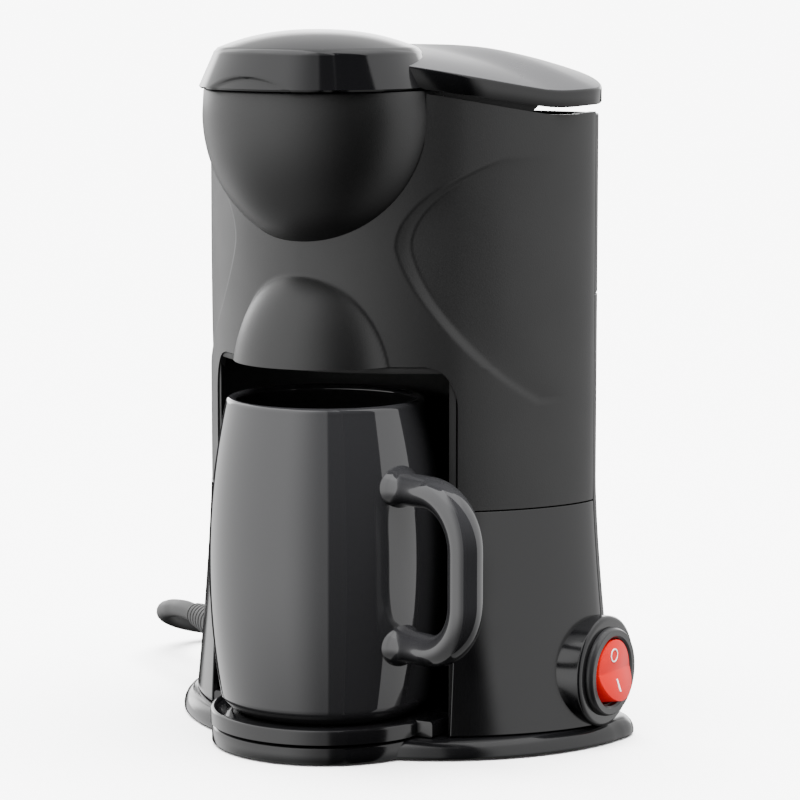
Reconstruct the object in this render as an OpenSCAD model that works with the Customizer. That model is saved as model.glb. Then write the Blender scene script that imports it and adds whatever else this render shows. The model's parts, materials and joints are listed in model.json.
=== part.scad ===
// One-cup drip coffee maker with its mug. Millimetres, +Z up, front towards -Y.
// The origin is on the table, under the middle of the appliance's box.

/* [Housing] */
// Width of the housing column
column_w = 144; // [136:1:148]
// Depth of the column's rounded front, from the rear seam forwards
front_depth = 64; // [60:1:66]
// Height of the seam between the lower and the upper housing
seam_z = 80; // [70:1:90]
// Height of the split between the two rear covers
rear_split_z = 148; // [140:1:160]
// Wall thickness of the mouldings
wall = 2.2; // [1.8:0.1:2.6]

/* [Base] */
// Width of the flared base
base_w = 166; // [164:1:172]
// Diameter of the round front of the base and of the tray on it
disc_d = 77; // [75:1:79]

/* [Mug] */
// Largest outer diameter of the mug
mug_d = 77; // [72:1:78]
// Height of the mug
mug_h = 103; // [98:1:105]
// Direction of the mug's handle, in degrees from the right-hand side towards the front
handle_angle = 15; // [10:1:22]

/* [Lid] */
// Diameter of the round cap at the front of the lid
cap_d = 76.4; // [76:0.2:78]
// How far the lid opens, drawn closed at 0
lid_open = 0; // [0:1:90]

/* [Switch] */
// Diameter of the rocker's round bezel
bezel_d = 29.4; // [29:0.2:31]

/* [Hidden] */
$fn = 72;

seam_y = 33;
split_y = 35.5;         // the front housings end and the rear covers begin here
back_y = 48;
half_w = column_w / 2;
axis_y = -15;          // the mug, the bowl and the tray share this vertical axis
cap_y = -19;           // the cap's axis, a little further forward so that its rim overhangs the bowl
base_half = base_w / 2;
base_back = 54.4;
base_yc = 41;
base_depth = 76;
base_top = 6.5;
foot_z = 0.5;
under_z = 4.5;         // ceiling of the hollow underside
rim_w = 8;             // width of the base's rim around it
tray_z = 12;
mug_z = 11.85;
niche_half = 47.5;
niche_back = 27;
niche_top = 127;
rim_z = 217.8;         // crown of the arched rim that the lid closes on
rim_arch_r = 225;
lid_arch_r = 250;
rear_top = 206.5;
bowl_r = 39.6;
bowl_mid = 207;
bowl_drop = 44.4;
cap_z = 215.4;
cap_shoulder = 227.4;
cap_taper = 4.6;         // how much smaller the cap is at its shoulder
cap_top = 234;
lid_crown = 229;
lid_top_r = 167;
hinge = [0, 45, 211];
switch_at = [80, 31.7, 24];
boss_r = 18.3;
rocker_r = 10.1;
exit_at = [-83, 31.7, 22];
gap = 0.3;

black = [0.06, 0.06, 0.065];
gloss = [0.03, 0.03, 0.035];
grey = [0.45, 0.46, 0.48];

// ---- outlines ----

// Half ellipse from the left seam, round the front, to the right seam. A nose above 1 makes its
// flanks flatter and its front rounder.
function front_arc(w, b, yc = seam_y, steps = 36, nose = 1) =
    [for (i = [0:steps]) let (a = 180 + 180 * i / steps)
        [w * sign(cos(a)) * pow(abs(cos(a)), nose), yc - b * pow(abs(sin(a)), nose)]];
// The column's front, grown sideways by o and forwards by p, and the same carried back to the rear covers
nose = 1.18;
function column_arc(o, p) = front_arc(half_w + o, front_depth + p, seam_y, 36, nose);
function column_front(o, p) = concat(
    [[-half_w - o, split_y]], column_arc(o, p), [[half_w + o, split_y]]);
// The two rounded rear corners, from the right to the left, starting where a front arc ends
function rear_arc(w, back, yc = seam_y, steps = 6) = let (r = back - yc) concat(
    [for (i = [1:steps]) let (a = 90 * i / steps) [w - r + r * cos(a), yc + r * sin(a)]],
    [for (i = [0:steps - 1]) let (a = 90 + 90 * i / steps) [r - w + r * cos(a), yc + r * sin(a)]]);
function body_outline(o) = concat(column_arc(o, o), rear_arc(half_w + o, back_y + o));
function base_outline(o) = concat(
    front_arc(base_half + o, base_depth + o, base_yc),
    rear_arc(base_half + o, base_back + o, base_yc));
// The space the mug stands in, open to the front
function niche_outline(w, back) = concat(
    [[w, -80]], [for (i = [0:24]) let (a = 180 * i / 24) [w * cos(a), axis_y + (back - axis_y) * sin(a)]],
    [[-w, -80]]);
// How far the housing's foot flares out at a height: fully at the sides, little in front and behind
front_flare = 0.15;
rear_flare = 0.2;
function flare(z) = 8.5 * pow(max(0, (seam_z + 6 - z) / (seam_z + 6)), 1.4);

// A closed solid through outlines that have the same number of points: [[z, points], ...]
module loft(rings) {
    n = len(rings[0][1]);
    m = len(rings);
    pts = [for (ring = rings) for (p = ring[1]) [p[0], p[1], ring[0]]];
    sides = [for (k = [0:m - 2]) for (i = [0:n - 1]) let (j = (i + 1) % n)
        [k * n + i, (k + 1) * n + i, (k + 1) * n + j, k * n + j]];
    floor_face = [for (i = [0:n - 1]) i];
    top_face = [for (i = [0:n - 1]) m * n - 1 - i];
    polyhedron(points = pts, faces = concat(sides, [floor_face], [top_face]), convexity = 4);
}

// Everything under an arch that runs front to back
module under_arch(r, crown) {
    translate([0, -90, crown - r]) rotate([-90, 0, 0]) cylinder(r = r, h = 180, $fn = 180);
}

module slab(x0, x1, y0, y1, z0, z1) {
    translate([x0, y0, z0]) cube([x1 - x0, y1 - y0, z1 - z0]);
}

module on_axis(z = 0) { translate([0, axis_y, z]) children(); }

module x_rod(x0, x1, y, z, r) {
    translate([x0, y, z]) rotate([0, 90, 0]) cylinder(r = r, h = x1 - x0);
}

module z_tube(x, y, z0, z1, r, bore) {
    translate([x, y, z0]) difference() {
        cylinder(r = r, h = z1 - z0);
        translate([0, 0, -1]) cylinder(r = bore, h = z1 - z0 + 2);
    }
}

// ---- base ----

screw_spots = [[-50, 20], [50, 20]];
foot_spots = [[-66, 34], [66, 34], [-16, -38], [16, -38]];

module base_shell() {
    color(gloss) difference() {
        union() {
            loft([[foot_z, base_outline(-0.6)], [3, base_outline(0)], [5, base_outline(-1.8)],
                  [base_top, base_outline(-3.2)]]);
            on_axis(foot_z) cylinder(d = disc_d - 1, h = base_top - foot_z);
        }
        translate([0, 0, foot_z - 1]) linear_extrude(under_z - foot_z + 1) polygon(base_outline(-rim_w));
        on_axis(foot_z - 1) cylinder(d = disc_d - 8, h = under_z - foot_z + 1);
        slab(-44, 44, 29, 42, 4, base_top + 1);
        for (p = screw_spots) translate([p[0], p[1], 4]) cylinder(r = 1.45, h = 1.6);
    }
}

module base_plate() {
    color(black) difference() {
        union() {
            translate([0, 0, 1.4]) linear_extrude(2) polygon(base_outline(-rim_w - 0.3));
            on_axis(1.4) cylinder(d = disc_d - 9, h = 2);
        }
        for (p = screw_spots) translate([p[0], p[1], 0]) cylinder(r = 1.7, h = 6);
        for (x = [-24:8:24]) slab(x - 1.5, x + 1.5, 8, 24, 0, 6);
        for (p = foot_spots) translate([p[0], p[1], 0]) cylinder(r = 5.1, h = 6);
    }
}

module feet() {
    color([0.12, 0.12, 0.12]) for (p = foot_spots) translate([p[0], p[1], 0]) cylinder(r = 5, h = under_z);
}

module base_screws() {
    color(grey) for (p = screw_spots) translate([p[0], p[1], 0.9]) {
        cylinder(r = 2.8, h = 0.5);
        cylinder(r = 1.4, h = 4.5);
    }
}

module cup_tray() {
    color(gloss) difference() {
        intersection() {
            union() {
                on_axis(base_top + gap) cylinder(d = disc_d, h = tray_z - base_top - gap);
                slab(-43.5, 43.5, axis_y - 3, axis_y + 10, base_top + gap, tray_z);
            }
            slab(-60, 60, -60, niche_back - 3, 0, 40);
        }
        on_axis(tray_z - 2.2) difference() {
            cylinder(r = 35.5, h = 5);
            translate([0, 0, -1]) cylinder(r = 32.5, h = 7);
        }
        on_axis(tray_z - 0.2) cylinder(r = 35.5, h = 5);
    }
}

// ---- mug ----

// Outer radius of the barrel at a height above its foot
function mug_r(h) = mug_d / 2 - 6.2 * pow((h - 0.46 * mug_h) / (0.54 * mug_h), 2);

module mug() {
    wall_t = 4;
    outer = [for (i = [0:10]) let (h = 1.5 + (mug_h - 3.5) * i / 10) [mug_r(h), h]];
    inner = [for (i = [10:-1:0]) let (h = 6 + (mug_h - 8) * i / 10) [mug_r(h) - wall_t, h]];
    lip = [[mug_r(mug_h) - 1.2, mug_h - 0.3], [mug_r(mug_h) - 2.8, mug_h]];
    color(gloss) on_axis(mug_z) {
        rotate_extrude() polygon(concat(
            [[0, 0], [mug_r(0) - 2, 0]], outer, lip, inner, [[0, 6]]));
        rotate([0, 0, -handle_angle]) mug_handle();
    }
}

module mug_handle() {
    stem = 5.4;
    low = 26;
    high = 77;
    bend = 17;
    reach = 67;
    for (z = [low, high]) translate([mug_r(z) - 2, 0, z]) rotate([0, 90, 0])
        cylinder(r = stem, h = reach - bend - mug_r(z) + 2);
    translate([reach, 0, low + bend]) cylinder(r = stem, h = high - low - 2 * bend);
    translate([reach - bend, 0, low + bend]) rotate([90, 0, 0]) rotate([0, 0, -90])
        rotate_extrude(angle = 90) translate([bend, 0]) circle(r = stem, $fn = 32);
    translate([reach - bend, 0, high - bend]) rotate([90, 0, 0])
        rotate_extrude(angle = 90) translate([bend, 0]) circle(r = stem, $fn = 32);
}

// ---- housing ----

module niche_cut(z0, z1) {
    translate([0, 0, z0]) linear_extrude(z1 - z0) polygon(niche_outline(niche_half, niche_back));
}

module lower_housing() {
    heights = [base_top + gap, 16, 28, 42, 60, seam_z - 0.2];
    flange_z = base_top + gap;
    color(gloss) difference() {
        union() {
            difference() {
                loft([for (z = heights) [z, column_front(flare(z), front_flare * flare(z))]]);
                translate([0, 0.1, 5]) linear_extrude(seam_z) polygon(column_front(-wall, -wall));
            }
            slab(-74, 74, 8, seam_y - 0.2, flange_z, flange_z + 1.4);
        }
        niche_cut(0, niche_top);
        x_rod(60, 90, switch_at[1], switch_at[2], boss_r + 0.05);
        x_rod(-90, -60, exit_at[1], exit_at[2], 8.2);
    }
}

module hood_shape(r, top) {
    foot = 119;
    on_axis() rotate_extrude() polygon(concat(
        [[0, niche_top + 0.2]],
        [for (i = [0:10]) let (z = niche_top + 0.2 + (foot + top - niche_top - 0.2) * i / 10)
            [r * sqrt(max(0, 1 - pow((z - foot) / top, 2))), z]]));
}

// The filter bowl's outer form, grown by o
module bowl_form(o = 0) {
    on_axis() rotate_extrude() polygon(concat(
        [[0, cap_z - 0.4 + o], [bowl_r - 0.5 + o, cap_z - 0.4 + o]],
        [for (i = [0:16]) let (a = 90 * i / 16)
            [(bowl_r + o) * cos(a), bowl_mid - (bowl_drop + o) * sin(a)]]));
}

module upper_housing() {
    z0 = seam_z;
    color(black) difference() {
        union() {
            intersection() {
                translate([0, 0, z0]) linear_extrude(rim_z) polygon(column_front(0, 0));
                under_arch(rim_arch_r, rim_z);
            }
            hood_shape(32, 41);
        }
        translate([0, 0.1, z0 - 1]) linear_extrude(rim_z) polygon(column_front(-wall, -wall));
        intersection() {
            hood_shape(32 - wall, 41 - wall);
            slab(-40, 40, -60, 0, 100, 170);
        }
        on_axis(niche_top - 1) cylinder(r = 32 - wall - 0.7, h = 3);
        bowl_form(0.25);
        on_axis(bowl_mid) cylinder(r = bowl_r + 0.25, h = 30);
        niche_cut(0, niche_top);
    }
}

module niche_liner() {
    color([0.02, 0.02, 0.02]) difference() {
        intersection() {
            translate([0, 0, base_top + gap]) linear_extrude(niche_top - base_top - 2 * gap)
                polygon(niche_outline(niche_half - 0.3, niche_back - 0.3));
            translate([0, 0, 0]) linear_extrude(200) polygon(column_front(-0.6, -0.6));
        }
        translate([0, 0, 0]) linear_extrude(niche_top - 2.2)
            polygon(niche_outline(niche_half - 2.1, niche_back - 2.1));
        on_axis(100) cylinder(r = 4.2, h = 40);
    }
}

module rear_cover_shape(z0, z1, holes) {
    heights = [for (z = [z0, 16, 28, 42, 60, seam_z, z1]) if (z >= z0 && z <= z1) z];
    spots = len(heights) > 2 ? heights : [z0, z1];
    difference() {
        intersection() {
            loft([for (z = spots) [z, concat(front_arc(half_w + flare(z), 30, seam_y, 4),
                                             rear_arc(half_w + flare(z), back_y + rear_flare * flare(z)))]]);
            slab(-100, 100, split_y + gap, 80, 0, 300);
        }
        translate([0, 0, z0 - 1]) linear_extrude(z1 - z0 + 2) polygon(concat(
            front_arc(half_w - wall, 28, seam_y, 4), rear_arc(half_w - wall, back_y - wall)));
        for (p = holes) translate([p[0], back_y + 12, p[1]]) rotate([90, 0, 0]) cylinder(r = 1.6, h = 20);
    }
}

module rear_cover_lower() {
    color(black) difference() {
        rear_cover_shape(base_top + gap, rear_split_z - 0.2, [[-50, 60], [50, 60], [0, 128]]);
        x_rod(60, 90, switch_at[1], switch_at[2], boss_r + 0.05);
        x_rod(-90, -60, exit_at[1], exit_at[2], 8.2);
    }
}

module rear_cover_upper() {
    color(black) {
        rear_cover_shape(rear_split_z + 0.2, rear_top, [[-50, 190], [50, 190]]);
        for (s = [-1, 1]) difference() {
            union() {
                x_rod(s > 0 ? 30.3 : -36, s > 0 ? 36 : -30.3, hinge[1], hinge[2], 2.2);
                slab(s > 0 ? 30.3 : -36, s > 0 ? 36 : -30.3, hinge[1] - 2.2, hinge[1] + 2.2,
                     rear_top - 6, hinge[2]);
            }
            x_rod(s > 0 ? 29 : -37, s > 0 ? 37 : -29, hinge[1], hinge[2], 1.11);
        }
    }
}

module rear_screws() {
    color(grey) for (p = [[-50, 60], [50, 60], [0, 128], [-50, 190], [50, 190]])
        translate([p[0], back_y + rear_flare * flare(p[1]) + 1, p[1]]) rotate([90, 0, 0]) {
            cylinder(r = 2.6, h = 0.8);
            cylinder(r = 1.4, h = 5.4);
        }
}

// ---- brewing ----

module brew_bowl() {
    color(black) difference() {
        bowl_form();
        on_axis() rotate_extrude() polygon(concat(
            [[0, cap_z + 2], [bowl_r - 2.6, cap_z + 2]],
            [for (i = [0:16]) let (a = 90 * i / 16)
                [(bowl_r - 2.2) * cos(a), bowl_mid - (bowl_drop - 2.2) * sin(a)]]));
        on_axis(150) cylinder(r = 4.2, h = 30);
    }
}

module filter_basket() {
    color([0.1, 0.1, 0.1]) on_axis() difference() {
        union() {
            translate([0, 0, 176]) cylinder(r1 = 22, r2 = 33, h = 34);
            translate([0, 0, 208.5]) cylinder(r = 36.4, h = 1.8);
        }
        translate([0, 0, 177.8]) cylinder(r1 = 20.8, r2 = 31.6, h = 34);
        for (a = [0:60:300]) rotate([0, 0, a]) translate([12, 0, 170]) cylinder(r = 4, h = 12);
        for (a = [0:60:300]) rotate([0, 0, a + 30]) translate([28, 0, 194]) rotate([0, 90, 0])
            cylinder(r = 6.5, h = 24, center = true);
    }
}

module filter_mesh() {
    color([0.75, 0.68, 0.4]) on_axis() difference() {
        translate([0, 0, 178]) cylinder(r1 = 20.5, r2 = 30.3, h = 31);
        translate([0, 0, 178.6]) cylinder(r1 = 19.9, r2 = 29.9, h = 31);
    }
}

module filter_handle() {
    color([0.1, 0.1, 0.1]) on_axis() {
        slab(-34, 34, -3, 3, 210.5, 212.3);
        translate([0, 0, 210.5]) cylinder(r = 6, h = 1.8);
    }
}

module drip_valve() {
    color([0.55, 0.1, 0.08]) on_axis(160) difference() {
        union() {
            cylinder(r = 3.9, h = 10);
            translate([0, 0, 6]) cylinder(r = 7, h = 2);
        }
        translate([0, 0, -1]) cylinder(r = 2.2, h = 20);
    }
}

module drip_funnel() {
    color(black) on_axis() difference() {
        union() {
            translate([0, 0, 130]) cylinder(r1 = 4, r2 = 13, h = 22);
            translate([0, 0, 123.4]) cylinder(r = 4, h = 7);
        }
        translate([0, 0, 131]) cylinder(r1 = 2.4, r2 = 12, h = 22);
        translate([0, 0, 120]) cylinder(r = 2.4, h = 20);
    }
}

// ---- lid ----

module cap_outer() {
    shoulder_r = cap_d / 2 - cap_taper;
    translate([0, cap_y, 0]) rotate_extrude() polygon(concat(
        [[0, cap_z], [cap_d / 2, cap_z], [shoulder_r, cap_shoulder]],
        [for (i = [1:6]) let (r = (shoulder_r - 1) * (1 - i / 6))
            [r, cap_top - (cap_top - cap_shoulder) * pow(r / shoulder_r, 2.2)]]));
}

module cap_inner() {
    inner_r = cap_d / 2 - wall;
    translate([0, cap_y, 0]) rotate_extrude() polygon([
        [0, cap_z - 5], [inner_r, cap_z - 5], [inner_r, cap_z],
        [inner_r - cap_taper, cap_shoulder - 1.5], [0, cap_top - wall - 1]]);
}

module lid_dome(o) {
    intersection() {
        translate([0, 0, cap_z - 15]) linear_extrude(60) polygon(body_outline(0.6 - o));
        under_arch(lid_top_r - o, lid_crown - o);
    }
}

module lid() {
    color(gloss) translate(hinge) rotate([-lid_open, 0, 0]) translate(-hinge) difference() {
        union() {
            cap_outer();
            difference() {
                lid_dome(0);
                under_arch(lid_arch_r, rim_z + 0.8);
            }
            intersection() {
                lid_dome(0);
                slab(-50, 50, back_y - 1.4, 60, 209, 222);
            }
            for (x = [-30, 24]) {
                x_rod(x, x + 6, hinge[1], hinge[2], 2.2);
                slab(x, x + 6, hinge[1] - 1, back_y, hinge[2], 221);
            }
        }
        cap_inner();
        difference() {
            lid_dome(wall);
            for (x = [-30, 24]) slab(x, x + 6, hinge[1] - 2.2, 60, hinge[2] - 2.2, 221);
        }
        for (x = [-36.4, 30.0]) slab(x, x + 6.4, hinge[1] - 3, 60, 200, hinge[2] + 3);
        for (x = [-31, 23]) x_rod(x, x + 8, hinge[1], hinge[2], 1.15);
    }
}

module lid_pins() {
    color(grey) for (x = [-35.5, 24.5]) x_rod(x, x + 11, hinge[1], hinge[2], 1.1);
}

// ---- water ----

tank_floor = 131;
tank_rim = 200;

module tank_plan(o) {
    difference() {
        intersection() {
            polygon(body_outline(-5 - o));
            translate([-100, -8 + o]) square([200, 100]);
        }
        translate([0, axis_y]) circle(r = bowl_r + 1.5 + o);
    }
}

module water_tank() {
    color([0.3, 0.32, 0.34]) difference() {
        translate([0, 0, tank_floor]) linear_extrude(tank_rim - tank_floor) tank_plan(0);
        translate([0, 0, tank_floor + 2]) linear_extrude(tank_rim) tank_plan(2);
        translate([-40, 31, tank_floor - 1]) cylinder(r = 4, h = 5);
        translate([0, 35, tank_floor - 1]) cylinder(r = 3.5, h = 5);
    }
}

module tank_seal() {
    color([0.6, 0.6, 0.6]) for (p = [[-40, 31, 4, 2.6], [0, 35, 3.5, 3.1]])
        z_tube(p[0], p[1], tank_floor - 1.5, tank_floor + 3, p[2], p[3]);
}

module check_valve() {
    color([0.85, 0.85, 0.82]) {
        z_tube(-40, 31, tank_floor - 8, tank_floor + 4, 2.6, 1.4);
        z_tube(-40, 31, tank_floor - 6, tank_floor - 2, 3.4, 2.6);
    }
}

module inlet_hose() {
    color([0.8, 0.8, 0.78]) z_tube(-40, 36.5, 34, 119, 2.8, 1.6);
}

module boiler() {
    color(grey) difference() {
        union() {
            slab(-30, 30, 31, 39, 26, 36);
            slab(-30, -18, 31, 39, 26, 80);
            slab(18, 30, 31, 39, 26, 80);
            slab(-30, 30, 31, 39, 70, 80);
        }
        for (x = [-24, 24]) translate([x, 35, 20]) cylinder(r = 2.8, h = 80);
    }
}

module heating_element() {
    color([0.5, 0.5, 0.5]) {
        for (x = [-14, 14]) translate([x, 35, 40]) cylinder(r = 2.6, h = 26);
        x_rod(-14, 14, 35, 40, 2.6);
    }
}

module boiler_bracket() {
    color(grey) difference() {
        slab(-34, 34, 29.2, 30.7, 22, 84);
        slab(-12, 12, 28, 33, 44, 62);
        for (x = [-31.5, 31.5]) translate([x, 32, 30]) rotate([90, 0, 0]) cylinder(r = 1.3, h = 5);
    }
}

module thermostat() {
    color([0.7, 0.65, 0.5]) translate([0, 39.3, 31]) rotate([-90, 0, 0]) {
        cylinder(r = 6, h = 2.5);
        translate([0, 0, 2.5]) cylinder(r = 4.5, h = 2.5);
    }
}

module thermal_fuses() {
    color([0.85, 0.85, 0.8]) for (z = [72.5, 77.5]) x_rod(-11, 11, 41.2, z, 1.8);
}

module outlet_hose() {
    color([0.8, 0.8, 0.78]) z_tube(0, 35, 84, 124, 4, 2.6);
}

module hose_clamps() {
    color(grey) {
        z_tube(0, 35, 88, 92, 4.7, 4.05);
        z_tube(0, 35, 116, 120, 4.7, 4.05);
        z_tube(-40, 36.5, 40, 44, 3.5, 2.85);
        z_tube(-40, 36.5, 110, 114, 3.5, 2.85);
    }
}

module riser_tube() {
    color([0.8, 0.8, 0.78]) z_tube(0, 35, 124, 206, 2.9, 1.7);
}

module spout_arm() {
    arm_z = 216;
    thick = 2.6;
    color(black) difference() {
        union() {
            translate([0, 35, 203]) cylinder(r = 4.6, h = arm_z + thick - 203);
            slab(-3.5, 3.5, axis_y, 33, arm_z, arm_z + thick);
            on_axis(arm_z) cylinder(r = 9, h = thick);
        }
        translate([0, 35, 202]) cylinder(r = 2.95, h = 9);
        on_axis(arm_z - 1) for (a = [0:60:300]) rotate([0, 0, a]) translate([5.5, 0, 0]) cylinder(r = 1, h = 5);
    }
}

// ---- switch and mains ----

module switch_boss() {
    color(gloss) difference() {
        x_rod(71.5, switch_at[0], switch_at[1], switch_at[2], boss_r);
        x_rod(69, switch_at[0] + 1, switch_at[1], switch_at[2], 12.2);
        slab(60, 90, 0, 60, 0, base_top + gap);
    }
}

module switch_bezel() {
    color([0.16, 0.16, 0.17]) difference() {
        translate([switch_at[0] + 0.1, switch_at[1], switch_at[2]]) rotate([0, 90, 0])
            cylinder(d1 = bezel_d, d2 = bezel_d - 1.6, h = 2.4);
        x_rod(78, 90, switch_at[1], switch_at[2], 11.3);
    }
}

module switch_body() {
    color(black) difference() {
        x_rod(57, switch_at[0], switch_at[1], switch_at[2], 12);
        x_rod(72, 90, switch_at[1], switch_at[2], 11);
    }
}

module switch_terminals() {
    color([0.8, 0.7, 0.3]) for (z = [-5, 5])
        slab(49.5, 57, 27, 34, switch_at[2] + z - 0.4, switch_at[2] + z + 0.4);
}

rocker_pivot = [79.4, 31.7, 24];
rocker_tilt = -10;     // at rest the upper half is pressed in
rocker_mid = 3.1;      // the dished face is lower at the middle than at its ends
rocker_edge = 4.8;

module rocker_pose() {
    translate(rocker_pivot) rotate([0, rocker_tilt, 0]) children();
}

module rocker() {
    color([0.85, 0.04, 0.03]) rocker_pose() intersection() {
        rotate([0, 90, 0]) cylinder(r = rocker_r, h = 20, center = true);
        rotate([90, 0, 0]) translate([0, 0, -12]) linear_extrude(24) polygon([
            [-2.5, -rocker_r], [rocker_edge, -rocker_r], [rocker_mid, 0],
            [rocker_edge, rocker_r], [-2.5, rocker_r]]);
    }
}

module rocker_marks() {
    slope = atan2(rocker_edge - rocker_mid, rocker_r);
    mark_z = 5;
    mark_x = rocker_mid + mark_z * tan(slope);
    color("white") rocker_pose() {
        translate([mark_x, 0, mark_z]) rotate([0, 90 + slope, 0]) difference() {
            cylinder(r = 2.3, h = 0.25);
            translate([0, 0, -1]) cylinder(r = 1.8, h = 3);
        }
        translate([mark_x, 0, -mark_z]) rotate([0, 90 - slope, 0])
            translate([-2.2, -0.28, 0]) cube([4.4, 0.56, 0.25]);
    }
}

module terminal_block() {
    color([0.85, 0.85, 0.82]) difference() {
        slab(-62, -54, 22, 35, 8.2, 31);
        for (y = [25, 32]) translate([-58, y, 26]) cylinder(r = 1.6, h = 8);
    }
}

module wiring() {
    color([0.75, 0.72, 0.2]) {
        x_rod(-54, 49.5, 30, switch_at[2] - 5, 1.1);
        x_rod(-54, 49.5, 27.95, switch_at[2] + 5, 0.9);
        x_rod(-74, -62, exit_at[1], exit_at[2], 3.25);
    }
}

module cord_clamp() {
    color(black) difference() {
        slab(-67.6, -62.4, 24, 39.4, 17, 29);
        x_rod(-69, -61, exit_at[1], exit_at[2], 3.35);
        for (y = [26.2, 37.2]) translate([-65, y, 10]) cylinder(r = 1.2, h = 30);
    }
}

relief_len = 22;

module strain_relief() {
    color(black) difference() {
        union() {
            x_rod(-78.5, -73, exit_at[1], exit_at[2], 7.9);
            translate([-77, exit_at[1], exit_at[2]]) rotate([0, 0, 150]) rotate([0, 90, 0])
                cylinder(r1 = 5.6, r2 = 4, h = relief_len);
        }
        slab(-74, -60, 20, 45, 0, 50);
    }
}

cord_d = 6.5;
cord_points = [
    [-96.1, 42.7, 22], [-103, 46.7, 22], [-110, 50.7, 21.3], [-117, 54.7, 19.8], [-124, 61, 17],
    [-129, 69.5, 13.4], [-131, 79, 9.8], [-129, 88.5, 6.8], [-124, 97, 4.8], [-117, 103, 3.8],
    [-108, 106.5, 3.4], [-98, 106.5, 3.4], [-89, 103, 3.4]
];
coil_at = [-54, 128];
coil_in = 30.7;
coil_out = 44;

function unit(v) = v / norm(v);
function along(p, i) = unit(p[min(i + 1, len(p) - 1)] - p[max(i - 1, 0)]);
// A round tube swept along a list of points
module swept(p, r, sides = 10) {
    rings = [for (i = [0:len(p) - 1]) let (t = along(p, i), s = unit(cross(t, [0, 0, 1])), u = cross(s, t))
        for (k = [0:sides - 1]) let (a = 360 * k / sides) p[i] + r * (cos(a) * s + sin(a) * u)];
    n = len(p);
    sides_f = [for (i = [0:n - 2]) for (k = [0:sides - 1]) let (j = (k + 1) % sides)
        [i * sides + k, (i + 1) * sides + k, (i + 1) * sides + j, i * sides + j]];
    polyhedron(points = rings, convexity = 4, faces = concat(sides_f,
        [[for (k = [0:sides - 1]) k]], [[for (k = [sides - 1:-1:0]) (n - 1) * sides + k]]));
}

tail_points = [
    [-71, 167.9, 9.2], [-76, 167.3, 8.3], [-81, 166.7, 7.4], [-86, 166.2, 6.8], [-90, 166, 6.6]
];

module cord() { color([0.05, 0.05, 0.05]) swept(cord_points, cord_d / 2 - 0.05); }

module cord_tail() { color([0.05, 0.05, 0.05]) swept(tail_points, cord_d / 2 - 0.05); }

module cord_coil() {
    color([0.05, 0.05, 0.05]) translate([coil_at[0], coil_at[1], 0.05]) rotate_extrude()
        translate([coil_in, 0]) square([coil_out - coil_in, 13]);
}

plug_at = [-110, 166, 6.6];     // the plug points away from the coil, towards -X

module plug() {
    color([0.05, 0.05, 0.05]) translate(plug_at) {
        translate([-26, -8, -6.5]) cube([26, 16, 13]);
        rotate([0, 90, 0]) cylinder(r1 = 6, r2 = 4, h = 20);
    }
}

module plug_pins() {
    color(grey) translate(plug_at) for (s = [-1, 1]) translate([-26, s * 5, 0]) rotate([0, -90, 0])
        cylinder(r = 2, h = 19);
}

base_shell();
base_plate();
feet();
base_screws();
cup_tray();
mug();
lower_housing();
upper_housing();
niche_liner();
rear_cover_lower();
rear_cover_upper();
rear_screws();
brew_bowl();
filter_basket();
filter_mesh();
filter_handle();
drip_valve();
drip_funnel();
lid();
lid_pins();
water_tank();
tank_seal();
check_valve();
inlet_hose();
boiler();
heating_element();
boiler_bracket();
thermostat();
thermal_fuses();
outlet_hose();
hose_clamps();
riser_tube();
spout_arm();
switch_boss();
switch_bezel();
switch_body();
switch_terminals();
rocker();
rocker_marks();
terminal_block();
wiring();
cord_clamp();
strain_relief();
cord();
cord_coil();
cord_tail();
plug();
plug_pins();
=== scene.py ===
import json
import math

import bpy
import bmesh
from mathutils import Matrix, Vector


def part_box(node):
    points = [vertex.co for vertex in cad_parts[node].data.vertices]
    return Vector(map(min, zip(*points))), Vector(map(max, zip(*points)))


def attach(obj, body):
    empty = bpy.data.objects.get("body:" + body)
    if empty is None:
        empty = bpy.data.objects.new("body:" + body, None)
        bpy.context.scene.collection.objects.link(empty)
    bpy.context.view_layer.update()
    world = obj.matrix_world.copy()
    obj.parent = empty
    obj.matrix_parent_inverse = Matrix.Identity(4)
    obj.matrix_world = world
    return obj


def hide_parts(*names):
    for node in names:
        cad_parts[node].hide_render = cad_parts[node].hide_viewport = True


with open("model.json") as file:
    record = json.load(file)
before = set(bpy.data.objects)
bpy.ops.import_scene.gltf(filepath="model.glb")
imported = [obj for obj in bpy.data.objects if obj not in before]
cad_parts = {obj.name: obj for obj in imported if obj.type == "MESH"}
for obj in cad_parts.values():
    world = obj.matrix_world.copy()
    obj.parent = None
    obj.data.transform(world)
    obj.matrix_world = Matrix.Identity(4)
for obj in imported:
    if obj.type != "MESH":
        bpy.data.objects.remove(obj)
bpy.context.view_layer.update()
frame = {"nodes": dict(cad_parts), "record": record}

# Shapes are worked out in millimetres and scaled to metres when a mesh is made.
MM = 0.001
scene = bpy.context.scene


def box_mm(node):
    low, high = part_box(node)
    return low / MM, high / MM


# ---- sizes taken from the frame, in millimetres ----

bowl_low, bowl_high = box_mm("brew_bowl")
lid_low, lid_high = box_mm("lid")
upper_low, upper_high = box_mm("upper_housing")
lower_low, _ = box_mm("lower_housing")
_, rear_high = box_mm("rear_cover_upper")
rear_foot_low, _ = box_mm("rear_cover_lower")
base_low, base_high = box_mm("base_shell")
_, tray_high = box_mm("cup_tray")
mug_low, mug_high = box_mm("mug")
boss_low, boss_high = box_mm("switch_boss")
bezel_low, bezel_high = box_mm("switch_bezel")

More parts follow.
